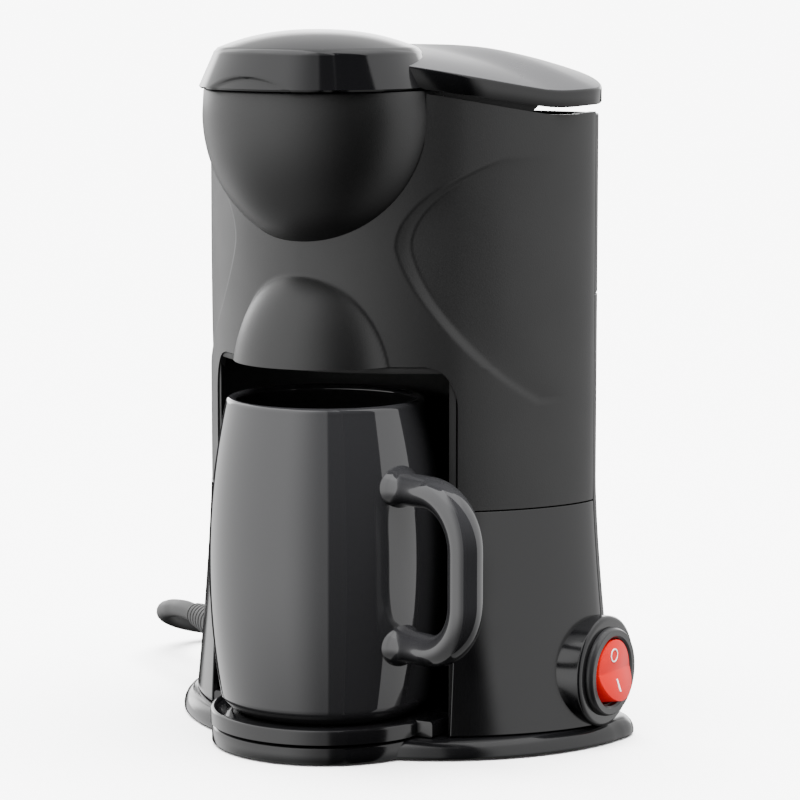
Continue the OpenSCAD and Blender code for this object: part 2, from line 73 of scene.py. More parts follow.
AXIS_Y = (bowl_low.y + bowl_high.y) / 2
BOWL_R = (bowl_high.x - bowl_low.x) / 2
SPLIT_Y = upper_high.y
BACK_Y = rear_high.y
SEAM_Z = upper_low.z
BASE_HALF = base_high.x
BASE_BACK = base_high.y
LID_TOP = lid_high.z
MUG_Z = mug_low.z
MUG_H = mug_high.z - mug_low.z


# ---- sizes that the boxes don't give, in millimetres ----

HALF_W = 72.0
SEAM_Y = 33.0
FRONT_D = SEAM_Y + 31.0
# How far the front's outline is flattened from a half ellipse, which would be 1
FLATTEN = 1.18
NOSE = 2 / FLATTEN
RIM_Z = 217.8
WALL = 2.2
# Half of the gap where two covers meet
GAP = 0.2
SPLIT_Z = 148.0
REAR_TOP = 206.5
NICHE_HALF = 47.6
NICHE_TOP = 127.0
HOOD_R, HOOD_Z, HOOD_REACH = 30.6, 119.0, 43.0
CAP_Y = -19.0
CAP_R = CAP_Y - lid_low.y
CAP_TAPER = 4.6
CAP_Z = 215.4
# The arch across the rim and the lid's two edges: the drop per square millimetre from the middle
RIM_ARCH, LOW_ARCH, TOP_ARCH = 0.0024, 0.0021, 0.00245
LID_EDGE_Z = 226.0
# Places as (y, z) of axes that run across the machine
HINGE = (45.0, 211.0)
SWITCH = (31.7, 24.0)
SWITCH_HOLE_R = 16.5


# ---- camera ----

def make_camera():
    data = bpy.data.cameras.new("camera")
    data.sensor_width = 36.0
    data.lens = 149.4
    data.clip_start = 0.05
    data.clip_end = 30.0
    camera = bpy.data.objects.new("camera", data)
    scene.collection.objects.link(camera)
    camera.location = Vector((605.7, -903.2, 259.1)) * MM
    camera.rotation_euler = (math.radians(82.283), 0.0, math.radians(33.0))
    scene.camera = camera


make_camera()


# ---- materials ----

def new_material(name, colour, roughness):
    material = bpy.data.materials.new(name)
    material.use_nodes = True
    shader = material.node_tree.nodes["Principled BSDF"]
    shader.inputs["Base Color"].default_value = (*colour, 1.0)
    shader.inputs["Roughness"].default_value = roughness
    return material, material.node_tree, shader


def noise(tree, size_mm, detail=3.0, stretch=(1.0, 1.0, 1.0)):
    place = tree.nodes.new("ShaderNodeTexCoord")
    mapping = tree.nodes.new("ShaderNodeMapping")
    mapping.inputs["Scale"].default_value = stretch
    texture = tree.nodes.new("ShaderNodeTexNoise")
    texture.inputs["Scale"].default_value = 1.0 / (size_mm * MM)
    texture.inputs["Detail"].default_value = detail
    tree.links.new(place.outputs["Object"], mapping.inputs["Vector"])
    tree.links.new(mapping.outputs["Vector"], texture.inputs["Vector"])
    return texture.outputs["Fac"]


def add_bump(tree, shader, height, depth_mm, strength=1.0):
    bump = tree.nodes.new("ShaderNodeBump")
    bump.inputs["Strength"].default_value = strength
    bump.inputs["Distance"].default_value = depth_mm * MM
    tree.links.new(height, bump.inputs["Height"])
    tree.links.new(bump.outputs["Normal"], shader.inputs["Normal"])


def vary_roughness(tree, shader, field, low, high):
    spread = tree.nodes.new("ShaderNodeMapRange")
    spread.interpolation_type = "SMOOTHSTEP"
    spread.inputs["From Min"].default_value = 0.2
    spread.inputs["From Max"].default_value = 0.8
    spread.inputs["To Min"].default_value = low
    spread.inputs["To Max"].default_value = high
    tree.links.new(field, spread.inputs["Value"])
    tree.links.new(spread.outputs["Result"], shader.inputs["Roughness"])


def moulded(name, colour, roughness, grain_mm, depth_mm, spread=0.04):
    """Moulded plastic or rubber: a fine grain, and a little unevenness in its shine."""
    material, tree, shader = new_material(name, colour, roughness)
    add_bump(tree, shader, noise(tree, grain_mm), depth_mm)
    vary_roughness(tree, shader, noise(tree, 22.0, 2.0), roughness - spread, roughness + spread)
    return material


def glazed(name, colour):
    """Fired glaze: a hard clear gloss over a dark body, with the slight waviness of a dip."""
    material, tree, shader = new_material(name, colour, 0.05)
    shader.inputs["IOR"].default_value = 1.62
    add_bump(tree, shader, noise(tree, 26.0, 1.0), 0.05)
    vary_roughness(tree, shader, noise(tree, 14.0, 3.0), 0.03, 0.07)
    return material


def brushed(name, colour, roughness):
    """Metal with fine streaks along X."""
    material, tree, shader = new_material(name, colour, roughness)
    shader.inputs["Metallic"].default_value = 1.0
    streaks = noise(tree, 1.2, 4.0, stretch=(0.08, 1.0, 1.0))
    add_bump(tree, shader, streaks, 0.02)
    vary_roughness(tree, shader, streaks, roughness - 0.06, roughness + 0.1)
    return material


def translucent_painted_glow(name, colour):
    """Coloured plastic that light goes into, with a faint painted glow: the rocker gives off light though
    no lamp is lit.
    """
    material, tree, shader = new_material(name, colour, 0.28)
    shader.inputs["Specular IOR Level"].default_value = 0.15
    shader.inputs["Subsurface Weight"].default_value = 0.35
    shader.inputs["Subsurface Radius"].default_value = (0.004, 0.0008, 0.0004)
    shader.inputs["Coat Weight"].default_value = 0.05
    shader.inputs["Coat Roughness"].default_value = 0.08
    # Painted glow: emission makes the rocker shine red by itself.
    shader.inputs["Emission Color"].default_value = (*colour, 1.0)
    shader.inputs["Emission Strength"].default_value = 0.6
    add_bump(tree, shader, noise(tree, 6.0, 1.0), 0.02)
    return material


MATERIALS = {
    "gloss_black": moulded("gloss_black", (0.003, 0.003, 0.0033), 0.14, 2.5, 0.004),
    "matt_black": moulded("matt_black", (0.004, 0.004, 0.0041), 0.42, 0.45, 0.03, 0.03),
    "niche_black": moulded("niche_black", (0.002, 0.002, 0.002), 0.6, 0.6, 0.02),
    "mug_glaze": glazed("mug_glaze", (0.014, 0.014, 0.015)),
    "lid_black": moulded("lid_black", (0.0025, 0.0025, 0.0028), 0.1, 1.5, 0.003),
    # The lid top's satin finish, with a lighter colour that is painted sheen: the real top is as black as
    # the rest.
    "lid_satin_painted_sheen": moulded("lid_satin_painted_sheen", (0.03, 0.03, 0.0315), 0.3, 0.6, 0.012),
    "bezel_grey": moulded("bezel_grey", (0.008, 0.008, 0.0085), 0.3, 0.5, 0.015),
    # The rocker's red plastic carries a faint painted glow.
    "rocker_red": translucent_painted_glow("rocker_red", (0.4, 0.002, 0.0015)),
    "mark_white": moulded("mark_white", (0.9, 0.9, 0.9), 0.5, 0.3, 0.005),
    "foot_rubber": moulded("foot_rubber", (0.03, 0.03, 0.03), 0.75, 0.4, 0.04),
    "steel": brushed("steel", (0.6, 0.6, 0.61), 0.32),
    "aluminium": brushed("aluminium", (0.7, 0.7, 0.71), 0.45),
    "silicone": moulded("silicone", (0.72, 0.72, 0.68), 0.45, 1.2, 0.01),
    "valve_red": moulded("valve_red", (0.45, 0.05, 0.04), 0.5, 0.8, 0.02),
    "filter_black": moulded("filter_black", (0.02, 0.02, 0.02), 0.4, 0.5, 0.02),
    "filter_gold": brushed("filter_gold", (0.8, 0.6, 0.25), 0.35),
    "tank_grey": moulded("tank_grey", (0.1, 0.105, 0.115), 0.3, 1.0, 0.01),
    "brass": brushed("brass", (0.78, 0.6, 0.28), 0.35),
    "wire": moulded("wire", (0.4, 0.4, 0.38), 0.5, 0.7, 0.02),
    "cream": moulded("cream", (0.72, 0.7, 0.64), 0.5, 0.6, 0.02),
    "cord_black": moulded("cord_black", (0.012, 0.012, 0.012), 0.5, 0.5, 0.03),
}


def paint(piece, slot):
    piece.data.materials.clear()
    piece.data.materials.append(MATERIALS[slot])


# ---- mesh building ----

def make_piece(name, points, faces, body, slot, node=None):
    """A mesh in millimetres becomes a piece that rides on a body and, where one is named, stands
    for a CAD node."""
    mesh = bpy.data.meshes.new(name)
    mesh.from_pydata([Vector(p) * MM for p in points], [], faces)
    made = bmesh.new()
    made.from_mesh(mesh)
    bmesh.ops.remove_doubles(made, verts=made.verts, dist=0.00002)
    bmesh.ops.recalc_face_normals(made, faces=made.faces)
    made.to_mesh(mesh)
    made.free()
    mesh.shade_smooth()
    piece = bpy.data.objects.new(name, mesh)
    scene.collection.objects.link(piece)
    paint(piece, slot)
    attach(piece, body)
    if node:
        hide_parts(node)
    return piece


def split_edges(piece, angle=32.0):
    modifier = piece.modifiers.new("crisp", "EDGE_SPLIT")
    modifier.split_angle = math.radians(angle)


def bevel_edges(piece, width_mm, segments=3, angle=32.0):
    modifier = piece.modifiers.new("bevel", "BEVEL")
    modifier.width = width_mm * MM
    modifier.segments = segments
    modifier.limit_method = "ANGLE"
    modifier.angle_limit = math.radians(angle)
    modifier.harden_normals = True


def thicken(piece, wall_mm):
    modifier = piece.modifiers.new("wall", "SOLIDIFY")
    modifier.thickness = wall_mm * MM
    modifier.offset = -1.0
    modifier.use_even_offset = False


def grid_faces(rows, columns, start=0, closed=False):
    faces = []
    for i in range(rows - 1):
        for k in range(columns if closed else columns - 1):
            j = (k + 1) % columns
            a = start + i * columns
            faces.append((a + k, a + j, a + columns + j, a + columns + k))
    return faces


def arc(cx, cz, r, start, end, steps):
    """Points of an arc in a profile, angles in degrees."""
    angles = [math.radians(start + (end - start) * i / steps) for i in range(steps + 1)]
    return [(cx + r * math.cos(a), cz + r * math.sin(a)) for a in angles]


def revolve(profile, x=0.0, y=AXIS_Y, steps=128):
    """Turns a profile of (radius, height) about the upright axis through x, y."""
    points = []
    for r, z in profile:
        for k in range(steps):
            a = 2 * math.pi * k / steps
            points.append((x + r * math.cos(a), y + r * math.sin(a), z))
    return points, grid_faces(len(profile), steps, closed=True)


def turn_to_x(points, centre):
    """Lays an upright turned shape on its side, so that its axis runs along +X through the centre."""
    return [(z, centre[0] + x, centre[1] + y) for x, y, z in points]


def loft(rings):
    """Closed rings of the same number of points, with both ends filled."""
    points = [p for ring in rings for p in ring]
    n = len(rings[0])
    faces = grid_faces(len(rings), n, closed=True)
    faces.append(tuple(range(n - 1, -1, -1)))
    faces.append(tuple(range(len(points) - n, len(points))))
    return points, faces


def smooth_step(t):
    t = min(1.0, max(0.0, t))
    return t * t * (3 - 2 * t)


# ---- outlines ----

def column_y(x, half=HALF_W, depth=FRONT_D):
    return SEAM_Y - depth * max(0.0, 1 - (abs(x) / half) ** NOSE) ** (1 / NOSE)


def corner_x(y, half=HALF_W, back=BACK_Y):
    """Half width of the column at a depth between the seam line and the back."""
    corner = back - SEAM_Y
    return half - corner + math.sqrt(max(0.0, corner ** 2 - (y - SEAM_Y) ** 2))


def flare(z):
    """How far the lower housing widens towards its foot."""
    span = SEAM_Z + 6
    return 8.5 * max(0.0, (span - z) / span) ** 1.4


def rear_rise(y):
    """The rim, and the lid's edges with it, climb a little towards the back."""
    return 1.9 * smooth_step((y - 12) / 22)


def rim_height(x, y):
    return RIM_Z - RIM_ARCH * x * x + rear_rise(y)


def rounded_outline(half, depth, back, centre_y, nose=1.0, front_steps=120, corner_steps=14):
    """Round the front and two rounded rear corners, anticlockwise from the left. A nose above 1
    flattens the flanks of the front's half ellipse."""
    corner = back - centre_y
    outline = []
    for i in range(front_steps + 1):
        a = math.pi * (1 + i / front_steps)
        across = math.copysign(abs(math.cos(a)) ** nose, math.cos(a))
        outline.append((half * across, centre_y - depth * abs(math.sin(a)) ** nose))
    for i in range(1, corner_steps + 1):
        a = math.pi / 2 * i / corner_steps
        outline.append((half - corner + corner * math.cos(a), centre_y + corner * math.sin(a)))
    for i in range(corner_steps):
        a = math.pi / 2 * (1 + i / corner_steps)
        outline.append((corner - half + corner * math.cos(a), centre_y + corner * math.sin(a)))
    return outline


# ---- cord ----

CORD_D = 6.5
CORD_ROUTE = [
    (-96.1, 42.7, 22), (-103, 46.7, 22), (-110, 50.7, 21.3), (-117, 54.7, 19.8), (-124, 61, 17),
    (-129, 69.5, 13.4), (-131, 79, 9.8), (-129, 88.5, 6.8), (-124, 97, 4.8), (-117, 103, 3.8),
    (-108, 106.5, 3.4), (-98, 106.5, 3.4), (-89, 103, 3.4),
]
CORD_TAIL = [
    (-71, 167.9, 9.2), (-76, 167.3, 8.3), (-81, 166.7, 7.4), (-86, 166.2, 6.8), (-90, 166, 6.6),
]
COIL_AT = (-54.0, 128.0)
COIL_TURN = 945.0
COIL_START = 225.0


def coil_points():
    """Two turns side by side on the table, then a last one that climbs on top and leaves to the left."""
    outer, inner, low, high = 40.7, 34.1, 3.35, 9.9
    points = []
    steps = 50
    for i in range(steps + 1):
        turned = COIL_TURN * i / steps
        inwards = smooth_step((turned - 285) / 70) - smooth_step((turned - 690) / 70)
        r = outer + (inner - outer) * inwards
        z = low + (high - low) * smooth_step((turned - 610) / 75)
        a = math.radians(COIL_START + turned)
        points.append((COIL_AT[0] + r * math.cos(a), COIL_AT[1] + r * math.sin(a), z))
    return points


def make_cord():
    route = CORD_ROUTE + coil_points() + CORD_TAIL
    curve = bpy.data.curves.new("cord_run", "CURVE")
    curve.dimensions = "3D"
    curve.bevel_depth = CORD_D / 2 * MM
    curve.bevel_resolution = 6
    curve.resolution_u = 8
    curve.use_fill_caps = True
    spline = curve.splines.new("BEZIER")
    spline.bezier_points.add(len(route) - 1)
    for point, place in zip(spline.bezier_points, route):
        point.co = Vector(place) * MM
        point.handle_left_type = "AUTO"
        point.handle_right_type = "AUTO"
    cord = bpy.data.objects.new("cord_run", curve)
    scene.collection.objects.link(cord)
    paint(cord, "cord_black")
    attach(cord, "housing")
    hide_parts("cord", "cord_coil", "cord_tail")
    return cord


def make_relief():
    """Flange against the housing, then a tapered sleeve with flexing grooves."""
    heading = Vector((-math.cos(math.radians(30)), math.sin(math.radians(30)), 0))
    side = Vector((0, 0, 1)).cross(heading)
    start = Vector((-77.0, 31.7, 22.0))
    profile = [(0.0, 0.0), (6.6, 0.0), (6.6, 1.5), (6.0, 2.2)]
    for i in range(6):
        z = 3.0 + 3.0 * i
        r = 5.9 - 0.3 * i
        profile += [(r, z), (r, z + 1.5), (r - 0.75, z + 1.8), (r - 0.75, z + 2.7)]
    profile += [(4.2, 21.2), (3.9, 22.0), (0.0, 22.0)]
    points = []
    steps = 40
    for r, z in profile:
        for k in range(steps):
            a = 2 * math.pi * k / steps
            place = start + heading * z + side * (r * math.cos(a)) + Vector((0, 0, r * math.sin(a)))
            points.append(tuple(place))
    faces = grid_faces(len(profile), steps, closed=True)
    relief = make_piece("cord_sleeve", points, faces, "housing", "cord_black", "strain_relief")
    bevel_edges(relief, 0.18, 2, 25)
    flange_points, flange_faces = revolve(
        [(0, -74.2), (7.9, -74.2), (7.9, -78.2), (7.5, -78.6), (0, -78.6)], 0, 0, 48)
    flange = make_piece("cord_flange", turn_to_x(flange_points, (31.7, 22.0)), flange_faces,
                        "housing", "cord_black")
    split_edges(flange)
    return [relief, flange]


def make_plug():
    low, high = box_mm("plug")
    middle = (low + high) / 2
    rings = []
    stations = [(0, 0.78), (0.8, 0.9), (3, 1.0), (17, 1.0), (22, 0.92), (26, 0.74)]
    for along, size in stations:
        ring = []
        for k in range(48):
            a = 2 * math.pi * k / 48
            c, s = math.cos(a), math.sin(a)
            y = 8.0 * size * math.copysign(abs(c) ** 0.5, c)
            z = 6.4 * size * math.copysign(abs(s) ** 0.5, s)
            ring.append((low.x + along, middle.y + y, 6.6 + z))
        rings.append(ring)
    for i in range(5):
        for along, shrink in ((0.0, 0.0), (2.4, 0.0), (2.8, 0.7), (3.7, 0.7)):
            r = 5.9 - 0.36 * i - shrink
            x = low.x + 26.4 + 3.9 * i + along
            rings.append([(x, middle.y + r * math.cos(2 * math.pi * k / 48),
                           6.6 + r * math.sin(2 * math.pi * k / 48)) for k in range(48)])
    points, faces = loft(rings)
    body = make_piece("plug_body", points, faces, "housing", "cord_black", "plug")
    split_edges(body, 50)
    return body


def make_tie():
    """A flat strap round the coil's front stretch."""
    points = []
    rows = 3
    loop = arc(0, 0, 1, 0, 360, 40)[:-1]
    for i in range(rows):
        across = (i - 1) * 3.0
        for cx, cz in loop:
            x = COIL_AT[0] + 37.4 + 7.3 * math.copysign(abs(cx) ** 0.55, cx)
            z = 6.6 + 6.5 * math.copysign(abs(cz) ** 0.55, cz)
            points.append((x, COIL_AT[1] + across, z))
    tie = make_piece("cord_tie", points, grid_faces(rows, len(loop), closed=True), "housing", "cord_black")
    thicken(tie, 0.8)
    split_edges(tie, 50)
    return tie


cord_run = make_cord()
on_cord = make_relief() + [make_plug(), make_tie(), frame["nodes"]["plug_pins"]]


# ---- housing ----

def crescent_depth(x, z):
    """How deep the pressed crescent on each side of the column is at a place."""
    waist, top, bottom, far = 165.5, 194.5, 115.0, 70.0
    edge_x, floor_x, depth = 31.2, 35.6, 0.52
    if not bottom < z < top:
        return 0.0
    up = z - waist
    if up > 0:
        edge = edge_x + 0.0378 * up ** 1.975
        floor = floor_x + 0.0345 * up ** 1.95
    else:
        edge = edge_x + 0.1217 * (-up) ** 1.43
        floor = floor_x + 0.0900 * (-up) ** 1.48
    width = floor - edge
    if width < 0.05 or floor > far - 1:
        return 0.0
    across = min(1.0, max(0.0, (abs(x) - edge) / width))
    fade = 1 - smooth_step((abs(x) - floor) / (far - floor))
    return depth * width * across * fade


def hood_y(x, z):
    """Front of the rounded hood over the niche, or None beside it."""
    inside = HOOD_R ** 2 * (1 - ((z - HOOD_Z) / HOOD_REACH) ** 2) - x * x
    return AXIS_Y - math.sqrt(inside) if inside > 0 else None


def front_point(x, z):
    """A place on the column's front: the plain column, the hood blended in, the crescent pressed in."""
    y = column_y(x)
    hood = hood_y(x, z)
    if hood is not None:
        blend = 0.5
        h = min(1.0, max(0.0, 0.5 + 0.5 * (y - hood) / blend))
        y = y * (1 - h) + hood * h - blend * h * (1 - h)
    inward = crescent_depth(x, z)
    if inward:
        slope = (column_y(x + 0.2) - column_y(x - 0.2)) / 0.4
        length = math.hypot(slope, 1.0)
        x -= inward * slope / length
        y += inward / length
    return (x, y, z)


BOWL_MID = 207.0
BOWL_DROP = BOWL_MID - bowl_low.z
JOIN_X = BOWL_R - 0.1
# Depths of the side wall's last columns, behind the round front
SIDE_STEPS = (SEAM_Y + 0.9, SEAM_Y + 1.7, SPLIT_Y)


def bowl_edge(x):
    """Height at which the column's front meets the bowl."""
    reach = math.hypot(x, column_y(x) - AXIS_Y) / (BOWL_R + GAP)
    return BOWL_MID - BOWL_DROP * math.sqrt(max(0.0, 1 - reach ** 2))


def niche_edge(z):
    """Half width of the niche's mouth, which rounds in at its top corners."""
    corner = 14.0
    if z > NICHE_TOP - corner:
        up = (z - NICHE_TOP + corner) / corner
        return JOIN_X + (NICHE_HALF - JOIN_X) * math.sqrt(max(0.0, 1 - up * up))
    return NICHE_HALF


def make_upper_housing():
    points, faces = [], []
    middle_rows = 128
    levels = [SEAM_Z + GAP + (NICHE_TOP - SEAM_Z - GAP) * i / 44 for i in range(45)]
    levels += [NICHE_TOP + (BOWL_MID - NICHE_TOP) * i / middle_rows for i in range(1, middle_rows + 1)]
    columns = 96
    for sign in (-1, 1):
        start = len(points)
        for z in levels + ["rim"]:
            edge = niche_edge(z) if z != "rim" and z < NICHE_TOP else JOIN_X
            a0 = math.asin(edge / HALF_W)
            for k in range(columns + 1):
                x = sign * HALF_W * math.sin(a0 + (math.pi / 2 - a0) * k / columns)
                points.append(front_point(x, rim_height(x, column_y(x)) if z == "rim" else z))
            for y in SIDE_STEPS:
                x = sign * corner_x(y)
                points.append((x, y, rim_height(x, y) if z == "rim" else z))
        faces += grid_faces(len(levels) + 1, columns + 4, start)
    start = len(points)
    across = 150
    for i in range(middle_rows + 1):
        for k in range(across + 1):
            x = JOIN_X * (2 * k / across - 1)
            top = bowl_edge(x) if 0 < k < across else BOWL_MID
            level = NICHE_TOP + (BOWL_MID - NICHE_TOP) * i / middle_rows
            points.append(front_point(x, min(level, top)))
    faces += grid_faces(middle_rows + 1, across + 1, start)
    piece = make_piece("housing_upper", points, faces, "housing", "matt_black", "upper_housing")
    thicken(piece, WALL)
    split_edges(piece, 40)


def behind_switch(corners):
    """True for a face of the housing's wall that the switch stands in."""
    return all(x > 0 and math.hypot(y - SWITCH[0], z - SWITCH[1]) < SWITCH_HOLE_R
               for x, y, z in corners)


def rear_y(z):
    """Back of the covers, which flares a fifth as much as the sides."""
    return BACK_Y + 0.2 * flare(z)


def make_lower_housing():
    points, faces = [], []
    rows, columns = 48, 40
    for sign in (-1, 1):
        start = len(points)
        for i in range(rows + 1):
            z = lower_low.z + (SEAM_Z - GAP - lower_low.z) * i / rows
            half = HALF_W + flare(z)
            depth = FRONT_D + 0.15 * flare(z)
            a0 = math.asin(niche_edge(z) / half)
            for k in range(columns + 1):
                x = sign * half * math.sin(a0 + (math.pi / 2 - a0) * k / columns)
                points.append((x, column_y(x, half, depth), z))
            for y in SIDE_STEPS:
                points.append((sign * corner_x(y, half, rear_y(z)), y, z))
        faces += grid_faces(rows + 1, columns + 4, start)
    faces = [face for face in faces if not behind_switch([points[i] for i in face])]
    piece = make_piece("housing_lower", points, faces, "housing", "gloss_black", "lower_housing")
    thicken(piece, WALL)
    bevel_edges(piece, 0.45, 3, 40)


def make_rear_cover(name, node, z0, z1):
    rows = max(2, int((z1 - z0) / 4))
    corner_steps = 14
    points = []
    for i in range(rows + 1):
        z = z0 + (z1 - z0) * i / rows
        half = HALF_W + flare(z)
        back = rear_y(z)
        corner = back - SEAM_Y
        first = math.asin((SPLIT_Y + 0.3 - SEAM_Y) / corner)
        line = []
        for k in range(corner_steps + 1):
            a = first + (math.pi / 2 - first) * k / corner_steps
            line.append((half - corner + corner * math.cos(a), SEAM_Y + corner * math.sin(a)))
        line += [(x, back) for x in (40, 20, 0)]
        line += [(-x, y) for x, y in reversed(line[:-1])]
        points += [(x, y, z) for x, y in line]
    columns = len(points) // (rows + 1)
    faces = [face for face in grid_faces(rows + 1, columns)
             if not behind_switch([points[i] for i in face])]
    piece = make_piece(name, points, faces, "housing", "matt_black", node)
    thicken(piece, WALL)
    bevel_edges(piece, 0.4, 3, 40)
    return piece


def make_bowl():
    wall = WALL
    top = bowl_high.z
    outer = [(BOWL_R * math.cos(a), BOWL_MID - BOWL_DROP * math.sin(a))
             for a in [math.pi / 2 * (1 - i / 48) for i in range(49)]]
    outer = [(max(r, 4.2), z) for r, z in outer]
    inner = [((BOWL_R - wall) * math.cos(a), BOWL_MID - (BOWL_DROP - wall) * math.sin(a))
             for a in [math.pi / 2 * i / 48 for i in range(49)]]
    inner = [(max(r, 4.2), z) for r, z in inner]
    lip = [(BOWL_R - 0.45, top - 0.5), (BOWL_R - 0.8, top),
           (BOWL_R - wall + 0.3, top), (BOWL_R - wall, top - 0.4)]
    points, faces = revolve(outer + lip + inner + [outer[0]])
    bowl = make_piece("bowl_shell", points, faces, "housing", "matt_black", "brew_bowl")
    split_edges(bowl, 45)


def grooved(x, y, z):
    """A shallow vertical groove in the skirt in line with the seam of the rear covers."""
    near = max(0.0, 1 - abs(y - SPLIT_Y) / 0.8)
    return (x - math.copysign(0.5 * near, x), y, z)


def make_base():
    foot = base_low.z
    stations = [(foot, -1.2), (foot + 0.05, -0.5), (foot + 0.5, -0.05), (1.8, 0.0), (3.2, -0.3),
                (4.4, -0.9), (5.4, -1.8), (6.1, -2.8), (6.4, -3.4), (6.5, -5.0)]
    rings = []
    for z, inset in stations:
        outline = rounded_outline(BASE_HALF + inset, 76 + inset, BASE_BACK + inset, 41.0)
        rings.append([grooved(x, y, z) for x, y in outline])
    points, faces = loft(rings)
    skirt = make_piece("base_skirt", points, faces, "housing", "gloss_black", "base_shell")
    split_edges(skirt, 50)
    r = 38.0
    profile = [(0, foot), (r - 0.6, foot), (r, foot + 0.6), (r, 5.2), (r - 0.35, 6.0),
               (r - 1.2, 6.5), (0, 6.5)]
    disc_points, disc_faces = revolve(profile)
    disc = make_piece("base_disc", disc_points, disc_faces, "housing", "gloss_black")
    split_edges(disc, 50)


def tray_radius(angle):
    """Distance from the mug's axis to the tray's edge: a disc, with wings towards the arms."""
    disc, wing, near, far = 38.5, 43.5, -3.5, 12.0
    c, s = math.cos(angle), math.sin(angle)
    reach = wing / max(abs(c), 1e-6)
    y = reach * s
    if near < y < far and reach > disc:
        return reach
    edge = min((abs(v / s) for v in (near, far) if abs(s) > 1e-6 and v / s > 0), default=disc)
    return max(disc, min(edge, reach))


def make_tray():
    steps = 240
    stations = [(6.8, -0.6), (7.2, 0.0), (11.0, 0.0), (11.7, -0.25), (12.0, -0.8), (12.0, -1.6),
                (11.8, -2.1), (11.3, -2.4), (11.2, -3.6), (11.75, -5.0)]
    back = tray_high.y
    points = []
    for z, inset in stations:
        for k in range(steps):
            a = 2 * math.pi * k / steps
            r = tray_radius(a) + inset
            points.append((r * math.cos(a), min(AXIS_Y + r * math.sin(a), back + inset), z))
    faces = grid_faces(len(stations), steps, closed=True)
    faces.append(tuple(range(steps)))
    last = len(points) - steps
    faces.append(tuple(range(last, last + steps)))
    tray = make_piece("tray_plate", points, faces, "tray", "gloss_black", "cup_tray")
    split_edges(tray, 50)


# ---- mug ----

def mug_radius(h):
    return 38.5 - 6.2 * ((h - 0.46 * MUG_H) / (0.54 * MUG_H)) ** 2


def make_mug():
    wall = 3.6
    foot = [(0, 1.6), (25.5, 1.6), (26.3, 1.2), (27.0, 0.15), (28.6, 0.0), (30.4, 0.2),
            (31.8, 0.9), (33.0, 2.2)]
    outer = [(mug_radius(h), h) for h in [4 + (MUG_H - 7) * i / 60 for i in range(61)]]
    lip_r = mug_radius(MUG_H - 1.8) - wall / 2
    lip = arc(lip_r, MUG_H - 1.8, wall / 2, 0, 180, 12)
    lip = [(r, min(z, MUG_H)) for r, z in lip]
    inner = [(mug_radius(h) - wall, h) for h in [MUG_H - 3 - (MUG_H - 13) * i / 50 for i in range(51)]]
    r = mug_radius(10) - wall
    bowl = arc(r - 5, 10.5, 5, 0, -90, 8) + [(20, 5.3), (0, 5.2)]
    profile = [(r, z + MUG_Z) for r, z in foot + outer + lip + inner + bowl]
    points, faces = revolve(profile, steps=160)
    cup = make_piece("mug_cup", points, faces, "mug", "mug_glaze", "mug")
    split_edges(cup, 60)


def handle_path():
    """Out of the barrel, round two corners, and back: (distance from the mug's axis, height)."""
    low, high, bend, reach = 26.0, 77.0, 17.0, 67.0
    sunk = 4.0
    root = mug_radius(low) - sunk
    path = [(root + i * (reach - bend - root) / 14, low) for i in range(14)]
    path += arc(reach - bend, low + bend, bend, -90, 0, 16)
    path += [(reach, low + bend + (high - low - 2 * bend) * i / 6) for i in range(1, 6)]
    path += arc(reach - bend, high - bend, bend, 0, 90, 16)
    root = mug_radius(high) - sunk
    path += [(reach - bend - i * (reach - bend - root) / 14, high) for i in range(1, 15)]
    return path


def make_handle():
    """A bent bar that swells a little where it joins the barrel."""
    turn = math.radians(-15)
    half_width, half_height = 6.1, 5.2
    out = Vector((math.cos(turn), math.sin(turn), 0))
    side = Vector((-out.y, out.x, 0))
    path = [Vector((0, AXIS_Y, 0)) + out * r + Vector((0, 0, z + MUG_Z)) for r, z in handle_path()]
    distances = [r for r, z in handle_path()]
    points = []
    steps = 40
    for i, place in enumerate(path):
        along = (path[min(i + 1, len(path) - 1)] - path[max(i - 1, 0)]).normalized()
        across = side
        up = along.cross(across).normalized()
        near = max(0.0, 1 - (distances[i] - mug_radius(place.z - MUG_Z) + 0.6) / 6.0)
        swell = 1 + 0.38 * min(1.0, near) ** 2.2
        for k in range(steps):
            a = 2 * math.pi * k / steps
            sideways = across * (half_width * swell * math.cos(a))
            points.append(tuple(place + sideways + up * (half_height * swell * math.sin(a))))
    faces = grid_faces(len(path), steps, closed=True)
    faces.append(tuple(range(steps)))
    faces.append(tuple(range(len(points) - steps, len(points))))
    handle = make_piece("mug_handle", points, faces, "mug", "mug_glaze")
    split_edges(handle, 60)


# ---- lid ----

def scoop(angle, z):
    """How deep the finger scoop in the cap's wall is, the angle counted from the front."""
    reach = (angle + math.radians(4)) / math.radians(27)
    if abs(reach) >= 1:
        return 0.0
    arch = CAP_Z + 4.6 * (1 - reach ** 2)
    return 1.3 * min(1.0, max(0.0, arch - z)) * math.sqrt(1 - reach ** 2)


def inside_column(corners):
    """True for a face of the cap's wall under the rear lid, where the lid is hollow."""
    return all(z < 222.5 and y > column_y(x) + 3.0 for x, y, z in corners)


